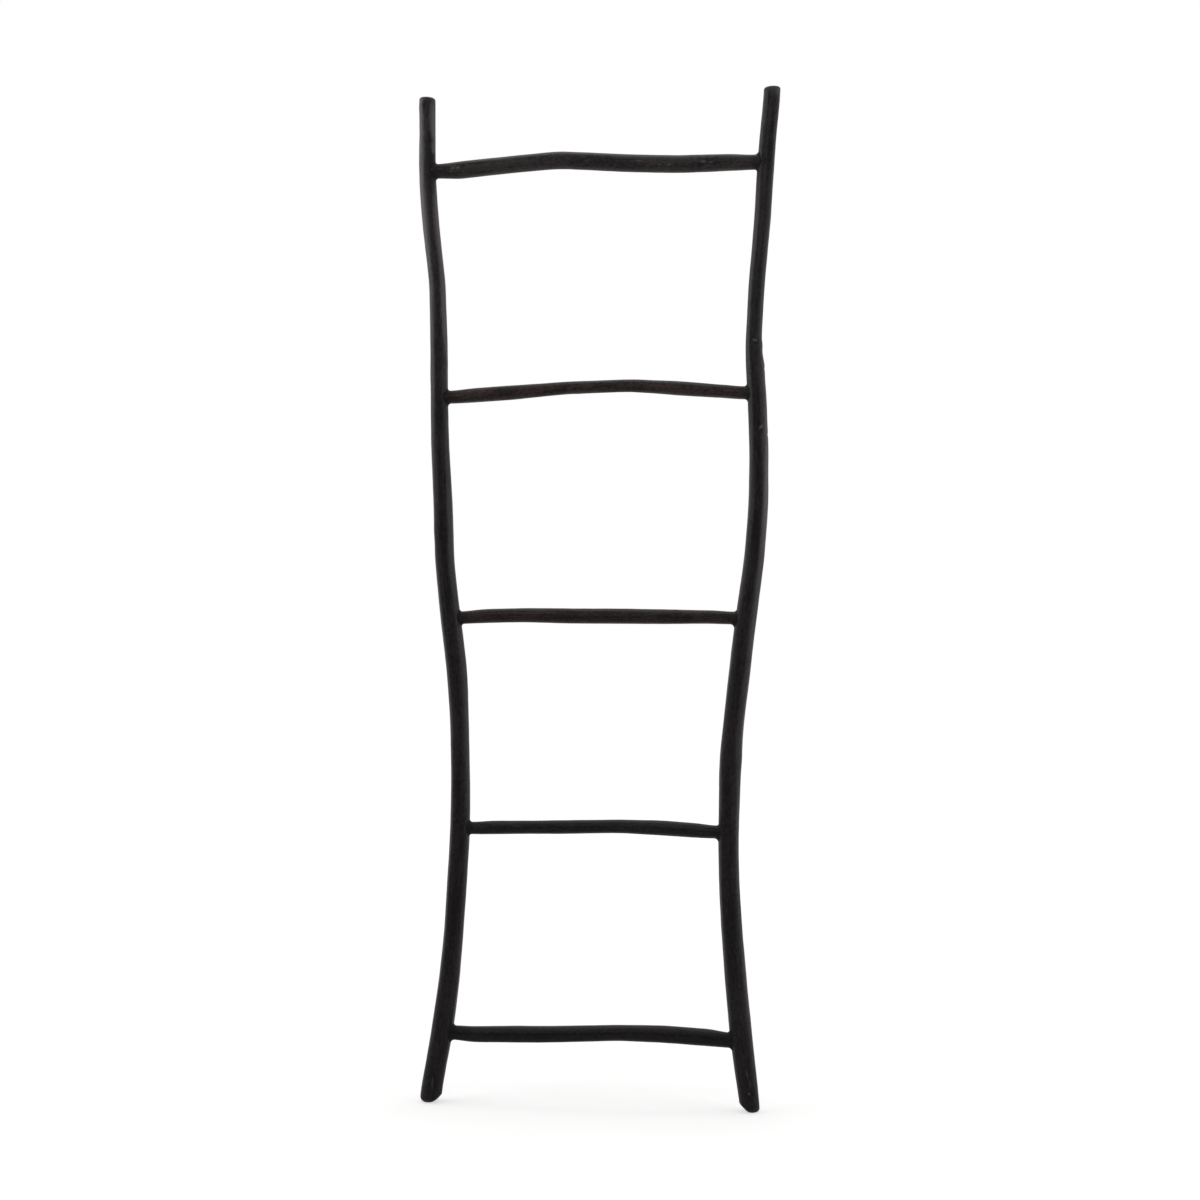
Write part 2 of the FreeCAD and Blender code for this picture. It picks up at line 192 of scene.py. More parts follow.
def unevenness(places, angles, across, along, seed):
    """Smooth noise over a pole, -1 to 1: across is its fineness round the pole, along in 1/m."""
    values = np.empty(places.shape)
    for index in np.ndindex(places.shape):
        angle = angles[index]
        values[index] = noise.noise(Vector((
            across * math.cos(angle) + seed,
            across * math.sin(angle) - seed,
            along * places[index],
        )))
    return values


DRIFT_WAVES = 3.5          # a metre, in how a flat wanders round its pole


def pared(places, angles, count, seed):
    """How high each point stands between the flats that a drawknife left, 0 to 1."""
    drift = np.array([
        noise.noise(Vector((seed, -seed, DRIFT_WAVES * place)))
        for place in places[:, 0]
    ])
    turn = (angles + drift[:, None]) * count / (2 * math.pi)
    from_ridge = 2 * np.abs(turn - np.floor(turn) - 0.5)
    return from_ridge ** 2


class Pole:
    """A stained pole: its line, its marks, and the points of its surface."""

    SWELL = 0.4 * MM           # its slow unevenness
    RIPPLE = 0.2 * MM          # its quick one
    FLATS = 9                  # round the pole

    def __init__(self, line, axis, marks, seed, flat_depth):
        self.line = line
        self.axis = axis
        self.marks = marks
        self.seed = seed
        self.flat_depth = flat_depth

    def radius(self, places, angles):
        """Distance of the surface from the heart, over a grid of places and angles."""
        base = self.line.at(places)[2]
        swell = self.SWELL * unevenness(places, angles, across=0.8, along=14, seed=self.seed)
        ripple = self.RIPPLE * unevenness(places, angles, across=2.2, along=45, seed=self.seed + 5)
        # A third is the ridges' mean height.
        ridges = self.flat_depth * (pared(places, angles, self.FLATS, self.seed + 9) - 1 / 3)
        radius = base + swell + ripple + ridges
        for mark in self.marks:
            radius = radius + mark.rise * mark.strength(places, angles, base)
        return radius

    def tint(self, places, angles, kind):
        """How much lighter (worn stain and painted highlight) or darker (cracks, knots and painted
        shade) the surface is at each point, 0 to 1.
        """
        base = self.line.at(places)[2]
        total = np.zeros(places.shape)
        for mark in self.marks:
            total = total + getattr(mark, kind) * mark.strength(places, angles, base)
        return np.clip(total, 0, 1)

    def points(self, places, angles, radii):
        """Points at those distances from the heart line."""
        first, second, _ = self.line.at(places)
        toward_front, aside = -np.cos(angles) * radii, np.sin(angles) * radii
        if self.axis == 2:
            return np.stack([first + aside, second + toward_front, places], axis=-1)
        return np.stack([places, first + toward_front, second + aside], axis=-1)


def mesh_piece(name, points, faces):
    """A smooth-shaded piece from points and faces, its faces turned outwards."""
    mesh = bpy.data.meshes.new(name)
    mesh.from_pydata([tuple(point) for point in points], [], faces)
    shaper = bmesh.new()
    shaper.from_mesh(mesh)
    bmesh.ops.recalc_face_normals(shaper, faces=shaper.faces)
    shaper.to_mesh(mesh)
    shaper.free()
    mesh.polygons.foreach_set("use_smooth", [True] * len(mesh.polygons))
    piece = bpy.data.objects.new(name, mesh)
    bpy.context.scene.collection.objects.link(piece)
    return piece


def pole_piece(name, pole, places, angles, radii, end_places):
    """A closed skin over a grid of places, angles and radii, with a point at each end."""
    rows, around = places.shape
    grid = pole.points(places, angles, radii).reshape(-1, 3)
    ends = pole.points(np.array(end_places), np.zeros(2), np.zeros(2))
    faces = []
    for row in range(rows - 1):
        for column in range(around):
            beside = (column + 1) % around
            here, above = row * around, (row + 1) * around
            faces.append((here + column, here + beside, above + beside, above + column))
    last = (rows - 1) * around
    for column in range(around):
        beside = (column + 1) % around
        faces.append((rows * around, beside, column))
        faces.append((rows * around + 1, last + column, last + beside))
    piece = mesh_piece(name, np.concatenate([grid, ends]), faces)
    straight = np.stack([np.cos(angles) * radii, np.sin(angles) * radii, places], axis=-1)
    straight_ends = np.array([(0, 0, place) for place in end_places])
    values = np.concatenate([straight.reshape(-1, 3), straight_ends])
    layer = piece.data.attributes.new("along_pole", "FLOAT_VECTOR", "POINT")
    layer.data.foreach_set("vector", values.astype(np.float32).ravel())
    for kind in ("worn", "dark"):
        values = np.append(pole.tint(places, angles, kind).ravel(), [0, 0])
        layer = piece.data.attributes.new(kind, "FLOAT", "POINT")
        layer.data.foreach_set("value", values.astype(np.float32))
    return piece


RIM_STEPS = 9              # from the side of a sawn end's rim to its face
DOME_SHARES = (0.85, 0.65, 0.45, 0.2)      # of the way out to the rim, for the rows inside it
KEPT_CLEAR = 0.6           # of a close step, beside the last place of a group


def crowded(plain, groups):
    """Plain places, with closer ones round the middle of each group (middle, reach, spacing)."""
    places = set(plain)
    for middle, reach, spacing in groups:
        steps = round(reach / spacing)
        clear = (steps + KEPT_CLEAR) * spacing
        places = {place for place in places if abs(place - middle) > clear}
        places.update(middle + spacing * step for step in range(-steps, steps + 1))
    return np.array(sorted(places))


def crowded_round(count, groups):
    """Evenly spread angles round a pole, with closer ones round the middle of each group."""
    turn = 2 * math.pi
    repeated = [
        (middle + shift, reach, spacing)
        for middle, reach, spacing in groups
        for shift in (-turn, 0, turn)
    ]
    angles = crowded(np.linspace(0, turn, count, endpoint=False), repeated)
    return angles[(angles >= 0) & (angles < turn)]


def end_rows(pole, end, inward, angles, rounding, dome, flatness):
    """Rows over a sawn end, from its shoulder to near its middle, as pairs of places and radii.

    The rim is round where flatness is 1 and a straight bevel where it is 2. It runs into the dome.
    """
    shoulder = end + inward * (rounding + dome)
    rim = pole.radius(shoulder[None, :], angles[None, :])[0]
    dome_slope = math.atan2(2 * dome, (rim - rounding).mean())
    rows = []
    for step in range(RIM_STEPS + 1):
        turn = (math.radians(90) - dome_slope) * step / RIM_STEPS
        depth = dome + rounding * (1 - math.sin(turn) ** flatness)
        reach = rim - rounding * (1 - math.cos(turn) ** flatness)
        rows.append((end + inward * depth, reach))
    for share in DOME_SHARES:
        rows.append((end + inward * depth * share ** 2, reach * share))
    return rows


class EndShape:
    """How a sawn end is rounded over, in mm: from least to most, with the most at worst_angle.

    dome is how far its middle stands out. bevel, 0 to 1, is how straight its worst side is.
    """

    def __init__(self, least, most, worst_angle, dome, bevel):
        self.least = least * MM
        self.most = most * MM
        self.worst_angle = math.radians(worst_angle)
        self.dome = dome * MM
        self.bevel = bevel

    def rows(self, pole, end, inward, angles):
        """The rows over one end of a pole, whose other end lies inward."""
        share = (0.5 + 0.5 * np.cos(angles - self.worst_angle)) ** 2
        rounding = self.least + (self.most - self.least) * share
        return end_rows(pole, end, inward, angles, rounding, self.dome, 1 + self.bevel * share)


# The dent that the punch left over each pin, at the back.
PIN_DENT = dict(angle=180, half_length=2.3, half_width=2.3, rise=-1.35, dark=0.3)

RAIL_MARKS = {
    "left": [
        # A chipped flat; its lighter colour is partly bared wood and partly painted highlight.
        Mark(1752, 66, 34, 7.5, rise=-1.4, worn=1.6, slant=-0.3),
        Mark(1724, 54, 9, 1.5, rise=-1.0, dark=1.0, slant=5),
        # Partly worn stain and partly painted highlight: the next four lighter stripes and spots on
        # the rail's sides.
        Mark(1706, 62, 9, 5.5, worn=1.0),
        Mark(1640, -42, 200, 11.5, worn=0.85),
        Mark(1575, -30, 55, 7, worn=0.35),
        Mark(1752, 36, 36, 7, worn=0.4),
        Mark(1640, 18, 170, 4.5, dark=0.6),
        # Partly worn stain and partly painted highlight: the next three lighter stripes on the
        # right flank.
        Mark(1575, 57, 75, 8.5, worn=1.0),
        Mark(1425, 55, 75, 7, worn=1.3),
        Mark(1320, 78, 38, 4, worn=0.6),
        Mark(1324, 70, 9, 7, rise=0.9),
        Mark(1326, 60, 16, 1.2, dark=0.5),
        Mark(1298, -80, 20, 6, rise=0.4, worn=0.4),
        # Partly worn stain and partly painted highlight: the next two lighter stripes on the
        # flanks.
        Mark(1230, -66, 120, 6, worn=0.35),
        Mark(1110, 72, 90, 5, worn=0.2),
        Mark(1024, -60, 14, 9, rise=0.7),
        Mark(640, -55, 6, 4, rise=0.3, worn=0.35),
        Mark(36, 7.3, 15, 1.0, rise=-0.7, worn=1.0, slant=-0.36),
        # Painted light: the foot's bottom rim is made lighter all round, against the shade under
        # it.
        Mark(1, 0, 6, 200, worn=0.9),
        # The top rim is lighter all round: partly a rubbed edge, partly painted light against the
        # shade on its rounding.
        Mark(1799, 0, 4, 200, worn=0.9),
        Mark(1793, -70, 6, 5, rise=-0.9, worn=0.8),
    ],
    "right": [
        # Painted shade: a long darker stripe on the right flank, to dim the highlight there.
        Mark(1500, 50, 190, 10, dark=0.5),
        Mark(1788, 25, 13, 16, worn=0.5),
        # Partly worn stain and partly painted highlight: a lighter stripe on the right flank.
        Mark(1752, 76, 50, 7, worn=0.5),
        Mark(1352.2, 9, 2.2, 2.4, rise=1.3, worn=2.4),
        Mark(1348.6, 9, 2.2, 3.2, rise=-0.9, dark=1.0),
        Mark(1345, 88, 8, 8, rise=1.0),
        Mark(1310, 84, 13, 8, rise=1.4, worn=0.8),
        Mark(1303.5, 90, 2, 6, rise=-0.9, dark=0.6),
        Mark(1201, 18, 3.6, 1.8, rise=0.9, worn=1.4, slant=2),
        Mark(1195, 17, 2.4, 2, rise=-0.5, dark=0.7),
        Mark(1188, 85, 2.4, 6, rise=-0.9, dark=0.4),
        # A shallow flat on the right flank. Its lighter colour, and that of the next two stripes on
        # the flanks, is partly worn stain and partly painted highlight.
        Mark(1105, 62, 150, 8, rise=-0.5, worn=0.8),
        Mark(1160, -70, 90, 6, worn=0.35),
        Mark(800, 66, 90, 6, worn=0.25),
        Mark(621, 85, 20, 10, rise=0.8),
        Mark(71, 12, 6, 1.1, rise=-0.7, worn=1.0, slant=-0.1),
        Mark(59, 17.5, 6.5, 1.0, rise=-0.7, worn=0.8, slant=-0.7),
        Mark(48, 21, 6.5, 1.0, rise=-0.7, worn=0.75, slant=0.2),
        Mark(35, 9.7, 2.2, 2.2, rise=-0.5, worn=1.2),
        Mark(17, 20, 2, 1.8, worn=0.7),
        # Painted light: the foot's bottom rim is made lighter all round, against the shade under
        # it.
        Mark(1, 0, 6, 200, worn=0.9),
        # The top rim is lighter all round: partly a rubbed edge, partly painted light against the
        # shade on its rounding.
        Mark(1799, 0, 4, 200, worn=0.9),
    ],
}
FOOT_SHAPES = {
    "left": EndShape(10.5, 14.5, 80, dome=0, bevel=0.6),
    "right": EndShape(7.5, 16, -80, dome=0, bevel=0.5),
}
TIP_SHAPES = {
    "left": EndShape(3.2, 5.2, 80, dome=1.2, bevel=0),
    "right": EndShape(3.0, 4.6, -70, dome=1.6, bevel=0),
}
CRACK_WIDTH = 1.5 * MM     # a mark narrower than this has closer columns under it
SMALL_SPOT = 4 * MM        # a mark smaller than this has closer rows and columns
BODY_START = 18 * MM       # the rows between a rail's two rounded ends
BODY_END = HEIGHT - 9 * MM
RAIL_COLUMNS = 54
RAIL_ROW = 2.6 * MM
RAIL_FLAT = 0.3 * MM       # how deep the drawknife's flats are
RUNG_COLUMNS = 48
RUNG_ROW = 2.8 * MM
RUNG_FLAT = 0.22 * MM

# How far the closer columns (radians) and rows (metres) reach, and their spacing.
PIN_COLUMNS = (0.24, 0.04)
SPOT_COLUMNS = (0.2, 0.05)
CRACK_COLUMNS = (0.09, 0.025)
PIN_ROWS = (5 * MM, 0.7 * MM)
RAIL_SPOT_ROWS = (6 * MM, 0.8 * MM)
RUNG_SPOT_ROWS = (5 * MM, 0.8 * MM)


def small_spots(marks):
    """The marks that need closer rows and columns under them."""
    return [mark for mark in marks if max(mark.half_length, mark.half_width) < SMALL_SPOT]


def rail_piece(side, seed):
    """A stained rail that stands for the CAD one."""
    marks = RAIL_MARKS[side] + [Mark(level / MM, **PIN_DENT) for level in RUNG_LEVELS.values()]
    pole = Pole(RAIL_LINES[side], 2, marks, seed, RAIL_FLAT)
    cracks = [mark for mark in marks if mark.half_width < CRACK_WIDTH]
    spots = small_spots(RAIL_MARKS[side])
    angles = crowded_round(
        RAIL_COLUMNS,
        [(math.pi, *PIN_COLUMNS)]
        + [(spot.angle, *SPOT_COLUMNS) for spot in spots]
        + [(crack.angle, *CRACK_COLUMNS) for crack in cracks],
    )
    places = crowded(
        np.arange(BODY_START, BODY_END, RAIL_ROW),
        [(level, *PIN_ROWS) for level in RUNG_LEVELS.values()]
        + [(spot.place, *RAIL_SPOT_ROWS) for spot in spots],
    )
    places = places[(places > BODY_START - MM) & (places < BODY_END + MM)]
    body_places, body_angles = np.meshgrid(places, angles, indexing="ij")
    body_radii = pole.radius(body_places, body_angles)
    foot = FOOT_SHAPES[side].rows(pole, 0, 1, angles)
    tip = TIP_SHAPES[side].rows(pole, HEIGHT, -1, angles)
    rows = foot[::-1] + [(body_places, body_radii)] + tip
    all_places = np.vstack([row_places for row_places, _ in rows])
    all_radii = np.vstack([row_radii for _, row_radii in rows])
    all_angles = np.broadcast_to(angles, all_places.shape)
    piece = pole_piece(f"{side}_rail_wood", pole, all_places, all_angles, all_radii, (0, HEIGHT))
    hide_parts(f"{side}_rail")
    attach(piece, "root")
    return piece, pole


RUNG_MARKS = {
    "bottom_rung": [
        Mark(-40, 20, 30, 4, worn=0.25),
        Mark(150, 60, 6, 5, rise=0.5, worn=0.3),
    ],
    "lower_rung": [Mark(60, 30, 24, 3, worn=0.3)],
    "middle_rung": [Mark(-120, 15, 26, 3, worn=0.3), Mark(140, 65, 6, 5, rise=0.5)],
    "upper_rung": [Mark(20, 30, 40, 4, worn=0.3), Mark(228, 20, 10, 3, worn=0.35)],
    "top_rung": [
        Mark(-259, 5, 3.2, 1.7, worn=1.4),
        Mark(-249, 4, 2.7, 1.8, worn=1.8),
        Mark(-262, -14, 3.5, 1.4, worn=0.6),
        Mark(-205, 45, 20, 5, worn=0.35),
        Mark(-170, 30, 14, 5, worn=0.4, rise=0.3),
        Mark(75, 7, 9, 2.6, worn=0.8),
        Mark(112, -15, 2.5, 1.8, worn=1.0),
        Mark(129, -15, 2.5, 1.8, worn=1.3),
        Mark(189, 0, 5, 2.2, worn=1.3),
        Mark(202, -4, 3.8, 1.6, worn=1.2),
        Mark(199, 7, 2.6, 2.2, rise=-0.6, dark=1.0),
        Mark(215, 75, 70, 9, dark=0.6),
    ],
}
ENTRY = 7 * MM             # how far a rung's end goes on inside the rail's surface
# Painted shade: each rung is darkened all round for a short way beside each rail, where the joint
# shades it.
RUNG_END_SHADE = dict(angle=0, half_length=11, half_width=300, dark=0.75)


def rung_piece(rung, seed):
    """A stained rung that stands for the CAD one."""
    level = RUNG_LEVELS[rung]
    left, right = (RAIL_LINES[side].at(level) for side in SIDES)
    walls = [left[0] + left[2], right[0] - right[2]]
    marks = RUNG_MARKS[rung] + [Mark(wall / MM, **RUNG_END_SHADE) for wall in walls]
    pole = Pole(rung_line(rung), 0, marks, seed, RUNG_FLAT)
    start, end = walls[0] - ENTRY, walls[1] + ENTRY
    spots = small_spots(RUNG_MARKS[rung])
    angles = crowded_round(RUNG_COLUMNS, [(spot.angle, *SPOT_COLUMNS) for spot in spots])
    places = crowded(
        np.linspace(start, end, round((end - start) / RUNG_ROW)),
        [(spot.place, *RUNG_SPOT_ROWS) for spot in spots],
    )
    all_places, all_angles = np.meshgrid(places, angles, indexing="ij")
    radii = pole.radius(all_places, all_angles)
    piece = pole_piece(f"{rung}_wood", pole, all_places, all_angles, radii, (start, end))
    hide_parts(rung)
    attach(piece, "root")
    return piece, pole


# ---- Filler in the corners ---------------------------------------------------------------------

BEAD_SIDE = 2.0            # mm of filler in front of and behind a rung
BEAD_REACH = {             # mm of filler over and under each rung's end
    ("top_rung", "left"): (6.2, 6.4),
    ("top_rung", "right"): (7.0, 6.2),
    ("upper_rung", "left"): (6.6, 6.2),
    ("upper_rung", "right"): (6.0, 7.6),
    ("middle_rung", "left"): (5.8, 5.8),
    ("middle_rung", "right"): (5.8, 8.0),
    ("lower_rung", "left"): (5.6, 6.8),
    ("lower_rung", "right"): (5.2, 8.4),
    ("bottom_rung", "left"): (5.6, 7.0),
    ("bottom_rung", "right"): (5.6, 8.6),
}
BEAD_NARROWING = 1.7       # how fast it gets thinner towards a rung's front and back
BEAD_HAND = 0.35           # how uneven the thumb left it, as a share of its reach
BEAD_WAVES = 1.5           # how fine that unevenness is round the rung
BEAD_COLUMNS = 60
BEAD_STEPS = 9
UNDER_SKIN = 0.25 * MM     # how far its thin edges sink into the wood
BEAD_HEART = 1.6 * MM      # how deep its hidden corner lies in the wood


def rail_side(pole, side, depth, height):
    """X of a rail's inner surface at a depth and height."""
    across, back, radius = pole.line.at(height)
    for _ in range(2):
        reach = np.sqrt(np.maximum(radius ** 2 - (depth - back) ** 2, 0))
        angles = np.arctan2(-SIDES[side] * reach, back - depth)
        radius = pole.radius(height[None, :], angles[None, :])[0]
    return across - SIDES[side] * np.sqrt(np.maximum(radius ** 2 - (depth - back) ** 2, 0))


def bead_piece(rung, side, rail, branch, seed):
    """The filler pressed into the corner round one rung end: a hollow fillet from rail to rung."""
    inward = -SIDES[side]
    angles = np.linspace(0, 2 * math.pi, BEAD_COLUMNS, endpoint=False)
    over, under = BEAD_REACH[rung, side]
    tallest = np.where(np.sin(angles) > 0, over, under)
    hand = np.array([
        noise.noise(Vector((BEAD_WAVES * math.cos(angle), BEAD_WAVES * math.sin(angle), seed)))
        for angle in angles
    ])
    reach = BEAD_SIDE + (tallest - BEAD_SIDE) * np.abs(np.sin(angles)) ** BEAD_NARROWING
    reach = reach * MM * (1 + BEAD_HAND * hand)
    neck = rail.line.at(RUNG_LEVELS[rung])
    mouth = np.full(angles.shape, neck[0] + inward * neck[2])
    girth = branch.radius(mouth[None, :], angles[None, :])[0]

    def surface(out):
        """Points of the rail's surface at a distance from the rung's heart."""
        heart = branch.line.at(mouth)
        depth, height = heart[0] - np.cos(angles) * out, heart[1] + np.sin(angles) * out
        return np.stack([rail_side(rail, side, depth, height), depth, height], axis=-1)

    def along_rung(start, distance, out):
        """Points beside the rung's surface, a distance along it from others."""
        place = start + inward * distance
        wall = branch.radius(place[None, :], angles[None, :])[0] + out
        return branch.points(place, angles, wall)

    foot = surface(girth + reach) - [inward * UNDER_SKIN, 0, 0]
    corner = surface(girth)
    lip = along_rung(corner[:, 0], reach, -UNDER_SKIN)
    loop = []
    for step in range(BEAD_STEPS + 1):
        share = step / BEAD_STEPS
        loop.append((1 - share) ** 2 * foot + 2 * share * (1 - share) * corner + share ** 2 * lip)
    loop.append(along_rung(corner[:, 0], -BEAD_HEART, -BEAD_HEART))
    rows = len(loop)
    faces = []
    for row in range(rows):
        here, above = row * BEAD_COLUMNS, (row + 1) % rows * BEAD_COLUMNS
        for column in range(BEAD_COLUMNS):
            beside = (column + 1) % BEAD_COLUMNS
            faces.append((here + column, here + beside, above + beside, above + column))
    piece = mesh_piece(f"{rung}_{side}_bead", np.concatenate(loop), faces)
    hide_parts(f"{rung}_{side}_filler")
    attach(piece, "root")
    return piece


# ---- Finishes ----------------------------------------------------------------------------------

class Value:
    """A socket in a finish. A sum written with it adds Math nodes."""

    def __init__(self, finish, socket):
        self.finish = finish
        self.socket = socket

    def worked(self, operation, first, second):
        return self.finish.node("ShaderNodeMath", {"operation": operation}, {0: first, 1: second})

    def __add__(self, other):
        return self.worked("ADD", self, other)

    def __radd__(self, other):
        return self.worked("ADD", other, self)

    def __sub__(self, other):
        return self.worked("SUBTRACT", self, other)

    def __rsub__(self, other):
        return self.worked("SUBTRACT", other, self)

    def __mul__(self, other):
        return self.worked("MULTIPLY", self, other)

    def __rmul__(self, other):
        return self.worked("MULTIPLY", other, self)


class Finish:
    """A material or world, and the nodes that make it."""

    def __init__(self, holder):
        holder.use_nodes = True
        self.holder = holder
        self.tree = holder.node_tree
        self.tree.nodes.clear()

    def node(self, kind, settings, inputs, output=0):
        """Adds a node: its settings first, then its sockets' values or links. Gives one output."""
        made = self.tree.nodes.new(kind)
        for setting, value in settings.items():
            setattr(made, setting, value)
        for socket, value in inputs.items():
            if isinstance(value, Value):
                self.tree.links.new(value.socket, made.inputs[socket])
            else:
                made.inputs[socket].default_value = value
        return Value(self, made.outputs[output])

    def ray(self, kind):
        """1 for one kind of light ray, such as those to the camera, and 0 for the others."""
        return self.node("ShaderNodeLightPath", {}, {}, kind)

    def coordinate(self, place, axis):
        return self.node("ShaderNodeSeparateXYZ", {}, {0: place}, axis)

    def attribute(self, name, output="Fac"):
        return self.node("ShaderNodeAttribute", {"attribute_name": name}, {}, output)

    def stretched(self, place, scales):
        return self.node("ShaderNodeVectorMath", {"operation": "MULTIPLY"}, {0: place, 1: scales})

    def clouds(self, place, detail, roughness=0.5):
        """Soft noise about 0.5, one wave per unit of place."""
        inputs = {"Vector": place, "Scale": 1, "Detail": detail, "Roughness": roughness}
        return self.node("ShaderNodeTexNoise", {}, inputs)

    def step(self, value, low, high):
        """0 under low, 1 over high, smooth between."""
        inputs = {"Value": value, "From Min": low, "From Max": high}
        return self.node("ShaderNodeMapRange", {"interpolation_type": "SMOOTHSTEP"}, inputs)

    def blend(self, share, first, second):
        """A colour between two."""
        return self.node("ShaderNodeMix", {"data_type": "RGBA"}, {0: share, 6: first, 7: second}, 2)

    def bump(self, height, distance, strength):
        inputs = {"Height": height, "Distance": distance, "Strength": strength}
        return self.node("ShaderNodeBump", {}, inputs)

    def finished(self, shader, kind="ShaderNodeOutputMaterial"):
        self.tree.links.new(shader.socket, self.tree.nodes.new(kind).inputs["Surface"])
        return self.holder


DEEP_STAIN = 0.45          # of a stain's middle colour, where it soaked in
THIN_STAIN = 1.75          # and where the wood breathes through
# The colour of rubbed stain, also laid on as painted highlight.
RUBBED_AND_HIGHLIT = (0.094, 0.083, 0.085, 1)
BLACKEST = (0.004, 0.0036, 0.0037, 1)

# Each kind of grain: waves a metre round a pole and along it, detail and roughness.
GRAIN = {
    "fibres": (950, 22, 3, 0.6),
    "streaks": (300, 8, 4, 0.65),
    "patches": (34, 13, 3, 0.6),
    "mottle": (230, 140, 4, 0.7),
    "flecks": (520, 85, 2, 0.5),
    "holes": (1500, 60, 1, 0.5),
}


def stained_wood(name, stain, matt, seed):
    """Wood under a black penetrating stain: fine fibres, brown breathing through, rubbed spots and
    painted highlights, and painted shade where the marks darken it.
    """
    finish = Finish(bpy.data.materials.new(name))
    place = finish.attribute("along_pole", "Vector")
    shift = {0: place, 1: (seed, seed, seed)}
    shifted = finish.node("ShaderNodeVectorMath", {"operation": "ADD"}, shift)
    worn = finish.attribute("worn")
    dark = finish.attribute("dark")
    fibres, streaks, patches, mottle, flecks, holes = (
        finish.clouds(finish.stretched(shifted, (around, around, along)), detail, roughness)
        for around, along, detail, roughness in GRAIN.values()
    )
    pores = finish.step(holes, 0.64, 0.72)
    deep = [DEEP_STAIN * part for part in stain] + [1]
    thin = [THIN_STAIN * part for part in stain] + [1]
    brown = finish.step(mottle + 0.6 * (patches - 0.5) + 0.5 * (streaks - 0.5), 0.38, 0.62)
    pale = finish.step(flecks, 0.62, 0.78) * finish.step(patches, 0.4, 0.62)
    # Lighter where the marks say: worn stain, and painted highlight.
    rub_and_highlight = finish.step(worn + 0.5 * (mottle - 0.5) + 0.6 * (flecks - 0.5), 0.2, 0.95)
    colour = finish.blend(brown, deep, thin)
    colour = finish.blend(0.3 * pale, colour, RUBBED_AND_HIGHLIT)
    colour = finish.blend(rub_and_highlight * 0.85, colour, RUBBED_AND_HIGHLIT)
    # Darker in pores, cracks and knots, and painted shade where the marks darken it.
    colour = finish.blend(dark * 0.85 + pores * 0.3, colour, BLACKEST)
    height = 0.5 * fibres + 0.8 * streaks + 0.5 * mottle - 0.5 * pores
    roughness = matt + 0.16 * (streaks - 0.5) + 0.2 * (mottle - 0.5) + 0.1 * rub_and_highlight + 0.12 * pale
    shader = finish.node("ShaderNodeBsdfPrincipled", {}, {
        "Base Color": colour,
        "Roughness": roughness,
        "Specular IOR Level": 0.23,
        "Normal": finish.bump(height, 0.0004, 0.5),
    })
    return finish.finished(shader)


# Painted shade in part: the black filler is made darker than the wood to deepen the shade in each
# joint, and darker still in its hollows.
FILLER_HOLLOW_SHADE = (0.004, 0.0036, 0.0036, 1)
FILLER_SKIN = (0.009, 0.0082, 0.008, 1)


def black_filler():
    """Black wood filler, pressed in by thumb: matt, with small grains and drags."""
    finish = Finish(bpy.data.materials.new("pressed_filler"))
    place = finish.node("ShaderNodeTexCoord", {}, {}, "Object")
    grains = finish.clouds(finish.stretched(place, (1300, 1300, 1300)), 2)
    drags = finish.clouds(finish.stretched(place, (260, 260, 260)), 3, 0.6)
    colour = finish.blend(finish.step(drags, 0.35, 0.7), FILLER_HOLLOW_SHADE, FILLER_SKIN)
    shader = finish.node("ShaderNodeBsdfPrincipled", {}, {
        "Base Color": colour,
        "Roughness": 0.55 + 0.2 * grains,
        "Specular IOR Level": 0.2,
        "Normal": finish.bump(grains + 2 * drags, 0.0003, 0.5),
    })
    return finish.finished(shader)


BRIGHT_STEEL = (0.42, 0.41, 0.4, 1)
DULL_STEEL = (0.2, 0.185, 0.17, 1)


def drawn_steel():
    """Plain steel wire, a little scratched by the punch and grey with handling."""
    finish = Finish(bpy.data.materials.new("drawn_pin_steel"))
    place = finish.node("ShaderNodeTexCoord", {}, {}, "Object")
    scratches = finish.clouds(finish.stretched(place, (6000, 900, 900)), 3, 0.6)
    tarnish = finish.clouds(finish.stretched(place, (700, 700, 700)), 3, 0.6)
    colour = finish.blend(finish.step(tarnish, 0.4, 0.65), BRIGHT_STEEL, DULL_STEEL)
    shader = finish.node("ShaderNodeBsdfPrincipled", {}, {
        "Base Color": colour,
        "Metallic": 1,
        "Roughness": 0.3 + 0.3 * tarnish,
        "Normal": finish.bump(scratches, 0.00005, 0.4),
    })
    return finish.finished(shader)


# ---- The ladder --------------------------------------------------------------------------------

RAIL_STAIN = (0.011, 0.0079, 0.0087)
RAIL_MATT = 0.42           # how matt the wood is
RUNG_MATT = 0.46
# Each rung's own stain. The two lowest are darker and the upper three lighter: partly real tone,
# partly painted shade and light, as the light falls stronger high up.
RUNG_STAINS_AND_LIGHT = {
    "bottom_rung": (0.0072, 0.0052, 0.0055),
    "lower_rung": (0.008, 0.0062, 0.0064),
    "middle_rung": (0.0175, 0.0112, 0.0104),
    "upper_rung": (0.0235, 0.015, 0.0135),
    "top_rung": (0.0205, 0.0165, 0.0168),
}
rail_stain = stained_wood("rail_stain", RAIL_STAIN, RAIL_MATT, 0)
filler = black_filler()
steel = drawn_steel()

